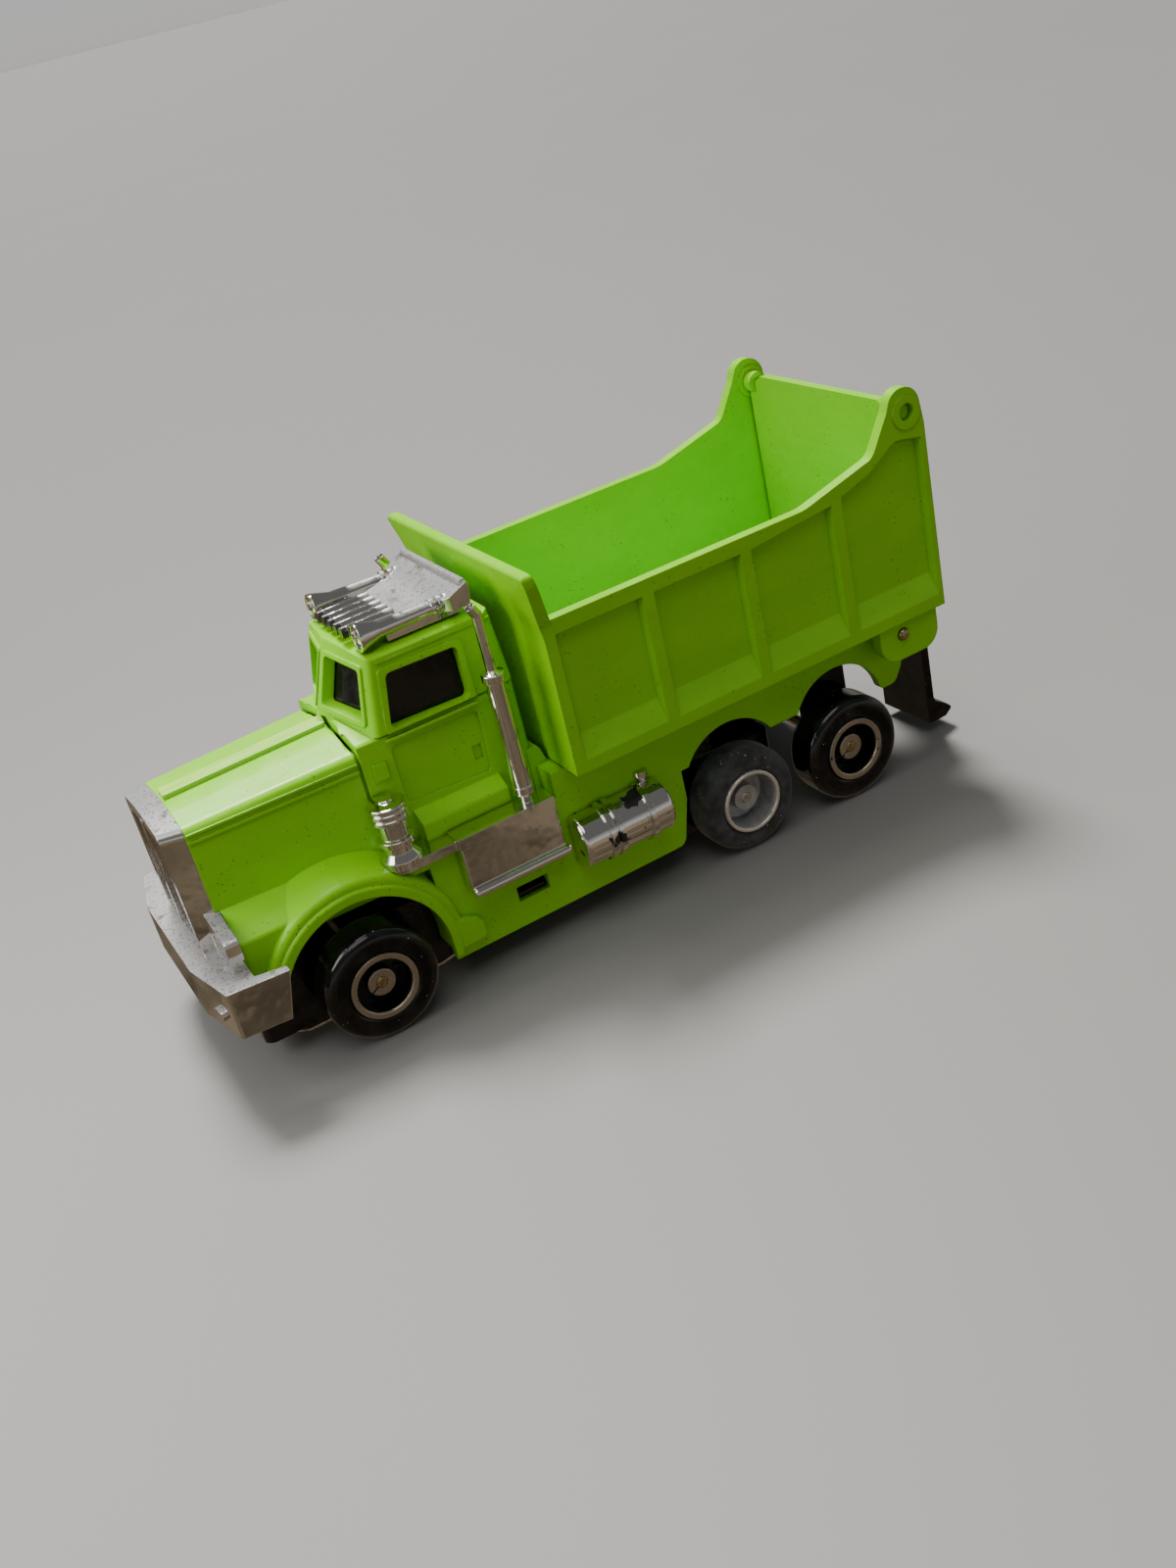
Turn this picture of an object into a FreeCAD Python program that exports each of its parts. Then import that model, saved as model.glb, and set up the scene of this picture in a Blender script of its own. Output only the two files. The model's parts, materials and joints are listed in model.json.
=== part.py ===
import FreeCAD, Part
import math
import os

# Toy dump truck for an HO-scale electric slot track, in millimetres.
# Stations: x runs forward from the front axle, y to the left, z up from the ground.
# Each sub-part is moved on export so that the origin is the bottom centre of the whole truck's box.

Vec = FreeCAD.Vector

# ---- driving dimensions ------------------------------------------------------------------
TYRE_R = 6.6                 # front and rear wheels
DRIVE_TYRE_R = 6.5           # soft rubber drive tyres
TYRE_IN, TYRE_OUT = 10.5, 15.3      # inner and outer faces of every wheel, from the centre plane
DRIVE_X = -48.9              # drive axle station
REAR_X = -64.4               # trailing axle station
AXLE_R = 0.7
RUN = 0.06                   # radial running clearance of every shaft and pin
RIM_R = 3.9                  # outer radius of the bright ring on a wheel face
HUB_R = 1.65                 # outer radius of the bright hub disc

SHELL = 1.2                  # wall of the green mouldings
SKIRT_Y = 12.3               # outer face of the skirts
SKIRT_BOTTOM = 3.4
SHELF_Z = 16.9               # top of the skirt beside the cab
DECK_Z = 20.0                # top of the deck under the dump bed
DECK_FRONT, DECK_REAR = -27.0, -70.3
DRIVE_ARCH = (DRIVE_X, 9.2, 7.0)     # x, z and radius of the skirt's opening over the drive wheel
REAR_ARCH = (-64.9, 10.0, 6.6)
FENDER_Y = 13.2              # outer face of the front fenders
FENDER_ARCH = (0.5, 6.9, 9.7)
CARRIER = (-61.9, -68.4, 9.3, 4.6)   # trailing axle carrier: front, rear, half width, bottom
CARRIER_PEG = (-65.2, 5.0, 0.8)      # station, side offset and radius of the pegs that hold it
CLIP_SLOT = ((-22.4, -18.4), (6.6, 8.5))    # x and z spans of the skirt slot for a chassis clip

HOOD_FRONT, HOOD_REAR = 12.9, -6.3
HOOD_FRONT_W, HOOD_REAR_W = 7.9, 8.7        # half widths
HOOD_SHOULDER, HOOD_CROWN = 29.8, 31.2
CAB_REAR = -26.0
CAB_W = 9.2                  # half width at the belt line
BELT_Z = 30.3
ROOF_W, ROOF_SHOULDER, ROOF_CROWN = 8.6, 39.4, 40.4
WINDSCREEN_FOOT, WINDSCREEN_HEAD = (-5.6, -9.1), (-9.5, -10.9)   # x at the centre post and at the pillars

BED_FRONT, BED_REAR = -27.5, -79.8
BED_W = 16.0                 # half width
BED_WALL = 1.4
BED_BOTTOM, BED_FLOOR, BED_RIM = 20.2, 21.6, 38.7
PANEL_DEPTH = 0.9            # recess of the side panels
RIB_DRAFT = 0.35             # lean of every rib's flanks over that depth
PANEL_TOP, PANEL_LEDGE, PANEL_BOTTOM = 36.9, 24.6, 21.7
RIB_STATIONS = (-28.2, -40.6, -53.5, -66.3, -79.8)      # centres of the ribs between panels
RIB_W = 1.45
SHIELD_TOP, SHIELD_W = 44.8, 17.6
EAR = (-77.4, 44.9, 2.9)     # rounded top of the bed side: x, z, radius
TRUNNION_R = 0.95
TILT_PIVOT = (-73.5, 18.5)   # x and z of the bed's hinge pin
PIN_R = 0.75
LUG_IN, LUG_OUT = 13.9, 15.4        # the bed's hinge lugs
TAILGATE_X, TAILGATE_T = -76.9, 1.2

LEVER_X, LEVER_T = -79.9, 1.1       # front face and thickness of the dump lever's leg
LEVER_Y = (1.0, 10.1)
LEVER_FOOT = 1.5
LEVER_TIP = -83.7

BUMPER_X = 17.6
BUMPER_W, BUMPER_CENTRE_W = 16.25, 8.6
BUMPER_END = (9.2, 17.05)    # x and y of the rear end of each bumper return
BUMPER_Z = (9.3, 14.9)
GRILLE_X, GRILLE_W, GRILLE_Z = 15.4, 6.7, (14.9, 29.9)

CHASSIS = (13.0, -56.5, 9.0, 2.3, 11.0)     # front, rear, half width, bottom, top
FLOOR_T = 1.0
MOTOR_Z = DRIVE_TYRE_R       # the motor shaft crosses the drive axle's height
PINION_TEETH, CROWN_TEETH = 8, 24
CROWN_PITCH_R = 4.5
PINION_PITCH_R = CROWN_PITCH_R * PINION_TEETH / CROWN_TEETH
SHAFT_R = 0.6
CORE_R = 3.0
CORE_X = (-36.0, -24.0)
COMMUTATOR_X = (-22.6, -20.4)
COMMUTATOR_R = 1.6
BULKHEADS = ((-41.0, -39.6), (-18.6, -17.2))
GUIDE_SOCKET = (7.5, 1.0, 4.0)              # station, bore radius and depth

ORIGIN_X = (BUMPER_X + LEVER_TIP) / 2       # half way between the bumper and the lever's toe


# ---- helpers -----------------------------------------------------------------------------
def place(plane, offset, a, b):
    """A point of a flat outline: xz, xy or yz, at the given offset along the third axis."""
    return {"xz": Vec(a, offset, b), "xy": Vec(a, b, offset), "yz": Vec(offset, a, b)}[plane]


def outline(points, plane, offset=0.0):
    """Closed wire through corner points (a, b) or (a, b, corner radius)."""
    ring = []
    count = len(points)
    for i, point in enumerate(points):
        here = Vec(point[0], point[1], 0)
        if len(point) < 3:
            ring.append((here,))
            continue
        to_last = (Vec(*points[i - 1][:2], 0) - here).normalize()
        to_next = (Vec(*points[(i + 1) % count][:2], 0) - here).normalize()
        half = to_last.getAngle(to_next) / 2
        reach = point[2] / math.tan(half)
        middle = here + (to_last + to_next).normalize() * (point[2] / math.sin(half) - point[2])
        ring.append((here + to_last * reach, middle, here + to_next * reach))
    edges = []
    for i, stop in enumerate(ring):
        flat = [place(plane, offset, p.x, p.y) for p in stop]
        if len(flat) == 3:
            edges.append(Part.Arc(*flat).toShape())
        first = ring[(i + 1) % count][0]
        start = place(plane, offset, first.x, first.y)
        if flat[-1].distanceToPoint(start) > 1e-6:
            edges.append(Part.LineSegment(flat[-1], start).toShape())
    return Part.Wire(edges)


def prism(points, plane, low, high):
    """An outline pushed along its third axis from low to high."""
    push = {"xz": Vec(0, high - low, 0), "xy": Vec(0, 0, high - low), "yz": Vec(high - low, 0, 0)}[plane]
    return Part.Face(outline(points, plane, low)).extrude(push)


def box(x, y, z):
    """A block between two values on each axis."""
    low = Vec(min(x), min(y), min(z))
    return Part.makeBox(max(x) - low.x, max(y) - low.y, max(z) - low.z, low)


def rod(radius, start, end):
    """A cylinder between two points."""
    axis = Vec(*end) - Vec(*start)
    return Part.makeCylinder(radius, axis.Length, Vec(*start), axis)


def cone(radius_start, radius_end, start, end):
    """A cone between two points."""
    axis = Vec(*end) - Vec(*start)
    return Part.makeCone(radius_start, radius_end, axis.Length, Vec(*start), axis)


def turned(points, x, z):
    """A profile of (radius, y) points turned about an axle line along y."""
    shifted = [(x + p[0],) + tuple(p[1:]) for p in points]
    face = Part.Face(outline(shifted, "xy", z))
    return face.revolve(Vec(x, 0, z), Vec(0, 1, 0), 360)


def lathe(points, x, y):
    """A profile of (radius, z) points turned about an upright line."""
    shifted = [(x + p[0],) + tuple(p[1:]) for p in points]
    face = Part.Face(outline(shifted, "xz", y))
    return face.revolve(Vec(x, y, 0), Vec(0, 0, 1), 360)


def loft(sections, plane):
    """A straight-sided solid through outlines given as (offset, points)."""
    wires = [outline(points, plane, offset) for offset, points in sections]
    return Part.makeLoft(wires, True, True)


def merge(*shapes):
    """One solid from shapes that touch or overlap."""
    return shapes[0].multiFuse(list(shapes[1:])).removeSplitter()


def mirrored(shape):
    """The right-hand twin of a left-hand shape."""
    return shape.mirror(Vec(0, 0, 0), Vec(0, 1, 0))


def both(shape):
    """A left-hand feature and its right-hand twin."""
    return shape.fuse(mirrored(shape))


def spread(points, amount):
    """A four-cornered outline grown outward by an amount on every side."""
    middle_a = sum(p[0] for p in points) / len(points)
    middle_b = sum(p[1] for p in points) / len(points)
    return [(p[0] + math.copysign(amount, p[0] - middle_a), p[1] + math.copysign(amount, p[1] - middle_b))
            + tuple(p[2:]) for p in points]


# ---- green cab and body ------------------------------------------------------------------
def hood_section(half_width, shoulder, crown, bottom, inset=0.0):
    """Outline across the hood: upright sides, rounded shoulders and a slight crown."""
    w = half_width - inset
    return [(-w, bottom), (w, bottom), (w, shoulder - inset, 1.1 - inset * 0.6),
            (0, crown - inset, 22), (-w, shoulder - inset, 1.1 - inset * 0.6)]


def hood(inset=0.0, bottom=13.0):
    """The long engine cover, wider and a little higher at the cowl."""
    front = hood_section(HOOD_FRONT_W, HOOD_SHOULDER - 0.2, HOOD_CROWN - 0.1, bottom, inset)
    rear = hood_section(HOOD_REAR_W, HOOD_SHOULDER + 0.2, HOOD_CROWN + 0.4, bottom, inset)
    return loft([(HOOD_FRONT, front), (HOOD_REAR - 1.0, rear)], "yz")


def hood_trim():
    """A flat hinge strip along the middle and two thin beads along each side."""
    strip = prism([(HOOD_FRONT - 0.3, HOOD_CROWN - 0.8), (HOOD_REAR, HOOD_CROWN - 0.3),
                   (HOOD_REAR, HOOD_CROWN + 0.42), (HOOD_FRONT - 0.3, HOOD_CROWN - 0.02)], "xz", -1.2, 1.2)
    beads = []
    for height, thickness in ((27.9, 0.4), (28.8, 0.3)):
        plan = [(HOOD_FRONT - 0.1, HOOD_FRONT_W + 0.16), (HOOD_REAR - 0.2, HOOD_REAR_W + 0.16),
                (HOOD_REAR - 0.2, -HOOD_REAR_W - 0.16), (HOOD_FRONT - 0.1, -HOOD_FRONT_W - 0.16)]
        beads.append(prism(plan, "xy", height, height + thickness))
    return [strip] + beads


def cowl_groove():
    """The shut line between the hood and the cowl."""
    big = hood_section(HOOD_REAR_W + 1, HOOD_SHOULDER + 1.2, HOOD_CROWN + 1.4, 16)
    small = hood_section(HOOD_REAR_W, HOOD_SHOULDER + 0.2, HOOD_CROWN + 0.4, 15, 0.3)
    return prism(big, "yz", HOOD_REAR - 0.35, HOOD_REAR).cut(
        prism(small, "yz", HOOD_REAR - 0.4, HOOD_REAR + 0.05))


def lower_cab(inset=0.0, bottom=15.0):
    """Doors and cowl, from the belt line down."""
    w = CAB_W - inset
    plan = [(CAB_REAR + inset, -w, 1.5), (HOOD_REAR, -w + 0.25, 0.4),
            (HOOD_REAR, w - 0.25, 0.4), (CAB_REAR + inset, w, 1.5)]
    front_view = [(-w, bottom), (w, bottom), (w, BELT_Z + 0.6 - inset, 1.0),
                  (0, 33.0 - inset, 20), (-w, BELT_Z + 0.6 - inset, 1.0)]
    side_view = [(CAB_REAR - 1, bottom), (HOOD_REAR + 1, bottom), (HOOD_REAR + 1, 30.9 - inset),
                 (HOOD_REAR - 2.4, 33.6 - inset), (CAB_REAR - 1, 33.6 - inset)]
    return prism(plan, "xy", bottom, 34).common(prism(front_view, "yz", CAB_REAR - 1, 0)).common(
        prism(side_view, "xz", -12, 12))


def greenhouse(inset=0.0):
    """Upper cab: vee windscreen, sides leaning in and a crowned roof. A negative inset grows it."""
    sections = []
    for z, w, (centre_x, pillar_x), rear in ((31.0, CAB_W, WINDSCREEN_FOOT, CAB_REAR),
                                             (41.0, ROOF_W, WINDSCREEN_HEAD, CAB_REAR + 0.7)):
        w = w - inset
        sections.append((z, [(rear + inset, -w, 1.3), (pillar_x - inset, -w, 0.8), (centre_x - inset, 0, 0.6),
                             (pillar_x - inset, w, 0.8), (rear + inset, w, 1.3)]))
    front_view = [(-CAB_W - 1, 30), (CAB_W + 1, 30), (ROOF_W + 0.35 - inset, ROOF_SHOULDER - inset, 1.2),
                  (0, ROOF_CROWN - inset, 26), (-ROOF_W - 0.35 + inset, ROOF_SHOULDER - inset, 1.2)]
    side_view = [(CAB_REAR - 1, 30), (-3, 30), (-3, 35), (-9.6 - inset, 41.0 - inset, 1.0),
                 (CAB_REAR + 0.9 + inset, 40.2 - inset, 1.6), (CAB_REAR - 0.6 + inset, 35)]
    return loft(sections, "xy").common(prism(front_view, "yz", CAB_REAR - 1, 0)).common(
        prism(side_view, "xz", -12, 12))


SIDE_WINDOW = [(-10.9, 31.4, 0.7), (-12.1, 37.4, 0.7), (-20.5, 37.2, 0.7), (-20.4, 31.1, 0.7)]
SCREEN_PANE = [(0.9, 33.5, 0.5), (7.5, 32.5, 0.5), (7.3, 38.2, 0.5), (0.9, 38.7, 0.5)]
REAR_WINDOW = [(-4.5, 32.2, 0.6), (4.5, 32.2, 0.6), (4.5, 37.2, 0.6), (-4.5, 37.2, 0.6)]
DOOR_PANEL = [(-10.3, 29.4, 0.6), (-20.8, 29.4, 0.6), (-20.6, 21.8, 0.6), (-10.4, 22.4, 0.6)]


def door_step():
    """Left ledge under the door."""
    section = [(8.5, 15.5), (10.9, 15.5), (10.9, 20.1, 0.5), (9.0, 21.3, 0.3), (8.5, 21.3)]
    return prism(section, "yz", -21.2, -10.6)


def cab_trim():
    """Raised frames round the side windows and panes, belt beads, cowl vents and rain gutters."""
    proud = greenhouse(-0.22)
    frame = prism(spread(SIDE_WINDOW, 0.75), "xz", -12, 12).cut(prism(SIDE_WINDOW, "xz", -12, 12))
    side_frames = proud.common(frame)
    pane_frame = prism(spread(SCREEN_PANE, 0.5), "yz", -12, -3).cut(prism(SCREEN_PANE, "yz", -12, -3))
    pane_frames = both(proud.common(pane_frame))
    belt = both(box((-10.0, -21.0), (8, CAB_W + 0.28), (BELT_Z - 0.2, BELT_Z + 0.15)))
    vent = both(box((-7.6, -9.3), (8, CAB_W + 0.02), (26.2, 28.2)))
    gutter = both(box((-11.5, -25.0), (7.6, ROOF_W + 0.25), (38.55, 38.85)))
    return [side_frames, pane_frames, belt, vent, gutter]


def front_fender():
    """Left front fender: a round crown with a rolled lip, a nose behind the headlamp and a rear foot."""
    x, z, r = FENDER_ARCH
    rise, front = 0.4, 12.35
    crown = cone(r + 3.3, r + 1.8, (x, 7.8, z + rise), (x, FENDER_Y, z + rise))
    crown = crown.makeFillet(0.8, [e for e in crown.Edges if e.BoundBox.YMin > FENDER_Y - 0.1])
    crown = crown.cut(box((-20, 20), (0, 20), (-10, 5.2))).cut(box((x + 3, 20), (0, 20), (-10, 10.0)))
    crown = crown.cut(box((front, 20), (0, 20), (0, 20)))
    nose = prism([(7.5, 11.0), (12.3, 11.0), (12.3, 17.2, 0.5), (7.5, 19.8)], "yz", 4.0, front)
    lip = rod(r + 1.25, (x, FENDER_Y - 0.6, z), (x, FENDER_Y + 0.3, z))
    lip = lip.makeFillet(0.4, [e for e in lip.Edges if e.Length > 10])
    lip = lip.cut(box((-20, 20), (0, 20), (-10, z - 2.4))).cut(box((x + 3, 20), (0, 20), (-10, 10.0)))
    foot = prism([(-10.0, 5.2), (-13.3, 5.2, 0.7), (-13.3, 7.6, 0.9), (-10.0, 9.0)], "xz",
                 11.0, FENDER_Y + 0.2)
    opening = rod(r, (x, 7.0, z), (x, 20, z)).fuse(box((x - r, x + r), (7.0, 20), (-1, z)))
    return merge(crown, nose, lip, foot).cut(opening)


def skirt():
    """Left side plate, from the fender back to the hinge bracket of the bed."""
    plate = prism([(-9.5, SKIRT_BOTTOM), (-40.5, SKIRT_BOTTOM, 1.2), (-41.9, DRIVE_ARCH[1]), (-41.9, 12.9),
                   (-70.5, 12.9), (-71.6, 10.9, 0.5), (-73.7, 10.9, 1.3), (-75.0, 13.0, 1.0),
                   (-75.0, 18.6, 0.8), (-73.9, DECK_Z, 0.8), (DECK_FRONT, DECK_Z), (DECK_FRONT, SHELF_Z),
                   (-9.5, SHELF_Z)], "xz", SKIRT_Y - SHELL, SKIRT_Y)
    for x, z, r in (DRIVE_ARCH, REAR_ARCH):
        plate = plate.cut(rod(r, (x, 0, z), (x, 20, z)))
    x, z, r = FENDER_ARCH
    plate = plate.cut(rod(r, (x, 0, z), (x, 20, z)))
    clip_slot = box(CLIP_SLOT[0], (0, 20), CLIP_SLOT[1])
    pin_hole = rod(PIN_R, (TILT_PIVOT[0], 0, TILT_PIVOT[1]), (TILT_PIVOT[0], 20, TILT_PIVOT[1]))
    return plate.cut(clip_slot).cut(pin_hole)


def carrier_pegs(radius, top):
    """Two upright pegs on the carrier, at the deck's holes."""
    x, y, _ = CARRIER_PEG
    return both(rod(radius, (x, y, DECK_Z - SHELL - 0.5), (x, y, top)))


def axle_carrier():
    """Black bracket pegged under the deck, with a leg on each side that holds the trailing axle."""
    front, rear, w, bottom = CARRIER
    top = DECK_Z - SHELL
    leg = prism([(front, top), (front, bottom + 1.5, 1.5), (front - 1.0, bottom, 0.8),
                 (rear + 1.6, bottom, 0.8), (rear, bottom + 2.0, 1.5), (rear, top)], "xz", w - 1.2, w)
    plate = box((front, rear), (-w, w), (top - 1.2, top))
    bearing = rod(AXLE_R + RUN, (REAR_X, -20, TYRE_R), (REAR_X, 20, TYRE_R))
    return merge(plate, both(leg), carrier_pegs(CARRIER_PEG[2], DECK_Z - 0.3)).cut(bearing)


def cab_body():
    """The one-piece green moulding: hood, cab, fenders, skirts, deck and hinge brackets."""
    deck = box((DECK_FRONT + 0.8, DECK_REAR), (-SKIRT_Y, SKIRT_Y), (DECK_Z - SHELL, DECK_Z))
    deck_step = prism([(CAB_REAR + 1, 16), (CAB_REAR + 1, 22.2), (CAB_REAR - 0.6, 22.2, 0.5),
                       (DECK_FRONT - 0.2, DECK_Z), (DECK_FRONT - 0.2, 16)], "xz", -CAB_W, CAB_W)
    shelves = both(box((-5.0, DECK_FRONT), (CAB_W - 1.0, SKIRT_Y), (SHELF_Z - SHELL, SHELF_Z)))
    shelf_end = both(box((DECK_FRONT, DECK_FRONT + SHELL), (CAB_W - 1.0, SKIRT_Y), (SHELF_Z - 1, DECK_Z)))
    outside = merge(hood(), *hood_trim(), lower_cab(), greenhouse(), *cab_trim(), both(door_step()),
                    deck_step)
    cab_floor = [(CAB_REAR + SHELL, -7.8, 0.5), (-10.4, -7.8), (-7.6, 0), (-10.4, 7.8),
                 (CAB_REAR + SHELL, 7.8, 0.5)]
    cavity = [hood(1.25, 5.0), lower_cab(SHELL, 5.0), greenhouse(SHELL), prism(cab_floor, "xy", 28.0, 31.6),
              box((HOOD_FRONT - 1.2, CAB_REAR + SHELL), (-7.2, 7.2), (5, 29.0))]
    for hollow in cavity:
        outside = outside.cut(hollow)
    windows = [prism(SIDE_WINDOW, "xz", -14, 14), prism(REAR_WINDOW, "yz", CAB_REAR - 3, -20),
               both(prism(SCREEN_PANE, "yz", -14, -3)), cowl_groove(),
               both(prism(DOOR_PANEL, "xz", CAB_W - 0.4, 12)),
               both(box((-19.2, -20.2), (CAB_W - 0.6, 12), (23.6, 25.3)))]
    for window in windows:
        outside = outside.cut(window)
    body = merge(outside, both(front_fender()), both(skirt()), deck, shelves, shelf_end)
    chassis_front, chassis_rear, chassis_w, _, chassis_top = CHASSIS
    gap = 0.15
    chassis_room = box((chassis_front + gap, chassis_rear - gap), (-chassis_w - gap, chassis_w + gap),
                       (0, chassis_top + gap))
    return body.cut(chassis_room).cut(carrier_pegs(CARRIER_PEG[2] + 0.05, DECK_Z + 1))


def window_insert():
    """Tinted glazing moulding behind every cab window."""
    gap = 0.12
    lower = box((CAB_REAR + SHELL + 0.3, -10.6), (-7.6, 7.6), (29.4, 31.6))
    outer = greenhouse(SHELL + gap).fuse(lower)
    hollow = greenhouse(SHELL + gap + 0.9).fuse(box((CAB_REAR + 2.6, -11.6), (-6.6, 6.6), (28, 32)))
    return outer.cut(hollow)


# ---- chrome trim -------------------------------------------------------------------------
def nose_room():
    """Block that the front of the hood fills behind the grille and bumper."""
    return box((HOOD_FRONT - 1, HOOD_FRONT), (-HOOD_FRONT_W, HOOD_FRONT_W), (12.9, 30))


def grille():
    """Radiator surround with upright bars, and a headlamp housing on each side."""
    low, high = GRILLE_Z
    face = [(-GRILLE_W, low), (GRILLE_W, low), (GRILLE_W, high - 0.3, 1.1), (0, high + 0.5, 20),
            (-GRILLE_W, high - 0.3, 1.1)]
    back = [(-HOOD_FRONT_W, low), (HOOD_FRONT_W, low), (HOOD_FRONT_W, high - 0.2, 1.1), (0, high + 1.2, 20),
            (-HOOD_FRONT_W, high - 0.2, 1.1)]
    surround = loft([(HOOD_FRONT, back), (GRILLE_X, face)], "yz")
    mouth = [(-5.5, low + 1.1, 0.4), (5.5, low + 1.1, 0.4), (5.5, high - 1.6, 0.5), (0, high - 1.0, 18),
             (-5.5, high - 1.6, 0.5)]
    surround = surround.cut(prism(mouth, "yz", GRILLE_X - 1.0, GRILLE_X + 1))
    bars = [box((GRILLE_X - 1.1, GRILLE_X - 0.35), (y - 0.22, y + 0.22), (low + 0.8, high - 1.0))
            for y in [i * 1.0 - 5.0 for i in range(11)]]
    centre_bar = box((GRILLE_X - 1.1, GRILLE_X + 0.1), (-0.45, 0.45), (low + 0.8, high - 0.8))
    housing = prism([(6.8, low), (13.2, low), (13.2, 18.4, 0.5), (6.8, 19.8, 0.4)], "yz", 12.45, 14.0)
    socket = prism([(8.2, 15.3, 0.4), (12.4, 15.3, 0.4), (12.4, 17.8, 0.4), (8.2, 17.8, 0.4)], "yz", 13.5, 15)
    lens = prism([(8.4, 15.5, 0.3), (12.2, 15.5, 0.3), (12.2, 17.6, 0.3), (8.4, 17.6, 0.3)], "yz", 13.4, 13.9)
    lamp = merge(housing.cut(socket), lens)
    return merge(surround, centre_bar, *bars, lamp, mirrored(lamp)).cut(nose_room())


def front_bumper():
    """Deep bumper: straight middle, swept ends and short returns beside the wheels."""
    low, high = BUMPER_Z
    corner_x, wall = 16.0, 1.1
    return_x, return_w = BUMPER_END
    flare = (return_w - BUMPER_W) / (corner_x - return_x)
    plan = [(BUMPER_X, -BUMPER_CENTRE_W), (BUMPER_X, BUMPER_CENTRE_W), (corner_x, BUMPER_W, 0.4),
            (return_x, return_w), (return_x, return_w - wall), (12.5, BUMPER_W - wall),
            (12.5, -BUMPER_W + wall), (return_x, -return_w + wall), (return_x, -return_w),
            (corner_x, -BUMPER_W, 0.4)]
    blade = prism(plan, "xy", low, high)
    inner = [(BUMPER_X - 1.3, -BUMPER_CENTRE_W + 0.3), (BUMPER_X - 1.3, BUMPER_CENTRE_W - 0.3),
             (corner_x - wall, BUMPER_W - wall), (0, BUMPER_W - wall + flare * corner_x),
             (0, -BUMPER_W + wall - flare * corner_x), (corner_x - wall, -BUMPER_W + wall)]
    slant = prism([(return_x - 0.01, high), (return_x + 1.4, low), (return_x - 2, low), (return_x - 2, high)],
                  "xz", -20, 20)
    blade = blade.cut(prism(inner, "xy", low - 1, high - 1.3)).cut(slant)
    lamp = Part.Face(Part.Wire(Part.Ellipse(Vec(0, 0, 0), 1.1, 0.75).toShape())).extrude(Vec(0, 0, 0.5))
    lamp.rotate(Vec(0, 0, 0), Vec(0, 1, 0), 90)
    lamp.rotate(Vec(0, 0, 0), Vec(1, 0, 0), 90)
    sweep = math.atan2(BUMPER_X - corner_x, BUMPER_W - BUMPER_CENTRE_W)
    lamp.rotate(Vec(0, 0, 0), Vec(0, 0, 1), math.degrees(sweep))
    lamp.translate(Vec(16.55, 13.0, 11.3))
    return merge(blade, lamp, mirrored(lamp)).cut(nose_room())


def air_cleaner(x, y):
    """Ribbed canister on its own base."""
    profile = [(0, 17.5), (2.3, 17.5), (2.3, 18.4, 0.3), (1.7, 19.2), (1.7, 20.0), (2.05, 20.1, 0.1),
               (2.05, 20.8, 0.1), (1.65, 21.0), (1.65, 22.9), (2.2, 23.0, 0.1), (2.2, 23.45, 0.1),
               (2.0, 23.6), (2.2, 23.75, 0.1), (2.2, 24.2, 0.1), (2.0, 24.35), (2.2, 24.5, 0.1),
               (2.2, 24.95, 0.2), (0.9, 25.15, 0.2), (0.8, 25.4), (0, 25.4)]
    return lathe(profile, x, y)


def exhaust_stack(x, y, base):
    """Muffler with end rings, and a thin pipe with a slanted mouth."""
    profile = [(0, base), (0.75, base), (0.75, base + 0.9), (1.2, base + 1.1, 0.15), (1.2, base + 2.0),
               (1.12, base + 2.1), (1.12, 33.2), (1.35, 33.3, 0.1), (1.35, 34.2, 0.2), (0.6, 34.5),
               (0.6, 41.2), (0, 41.2)]
    pipe = lathe(profile, x, y)
    tip = rod(0.6, (x, y, 40.9), (x + 0.55, y, 42.0))
    mouth = rod(0.42, (x + 0.25, y, 41.4), (x + 0.8, y, 42.5))
    return pipe.fuse(tip).cut(mouth)


def side_trim():
    """Left chrome moulding: air cleaner, step plate, battery box with a bumper rail, and exhaust stack."""
    step_plate = prism([(-4.9, 9.7, 0.6), (-4.9, 12.4, 1.6), (-7.0, 13.4, 0.5), (-12.9, 13.4), (-12.9, 9.7)],
                       "xy", SHELF_Z, SHELF_Z + 1.1)
    battery_box = box((-12.8, -24.9), (SKIRT_Y, 14.1), (11.6, 18.3))
    box_top = box((-12.8, -24.9), (11.2, 14.1), (SHELF_Z, 18.3))
    edges = [e for e in battery_box.Edges if e.BoundBox.YMin > 14.0]
    battery_box = battery_box.makeFillet(0.25, edges)
    rail = rod(0.6, (-12.9, 14.2, 11.4), (-25.3, 14.2, 11.4))
    rail = rail.makeFillet(0.3, [e for e in rail.Edges if e.Curve.TypeId == "Part::GeomCircle"])
    trim = merge(step_plate, battery_box, box_top, rail, air_cleaner(-7.2, 11.4),
                 exhaust_stack(-22.4, 12.3, 18.3))
    return trim.cut(front_fender()).cut(door_step())


def fuel_tank():
    """Left fuel tank with domed ends, two straps, a filler neck and brackets to the skirt."""
    y, z, r = 12.95, 10.9, 3.25
    drum = rod(r, (-26.4, y, z), (-38.3, y, z))
    drum = drum.makeFillet(0.6, [e for e in drum.Edges if e.Curve.TypeId == "Part::GeomCircle"])
    pieces = [drum]
    for x in (-29.6, -30.7, -35.0):
        strap = rod(r + 0.3, (x, y, z), (x - 0.7, y, z))
        pieces.append(strap)
    neck = rod(0.55, (-36.6, y - 0.6, z + 2.5), (-36.6, y - 0.6, z + 4.4))
    cap = rod(0.85, (-36.6, y - 0.6, z + 4.0), (-36.6, y - 0.6, z + 4.6))
    tank = merge(*pieces, neck, cap)
    return tank.cut(box((-20, -45), (0, SKIRT_Y), (0, 30)))


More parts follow.
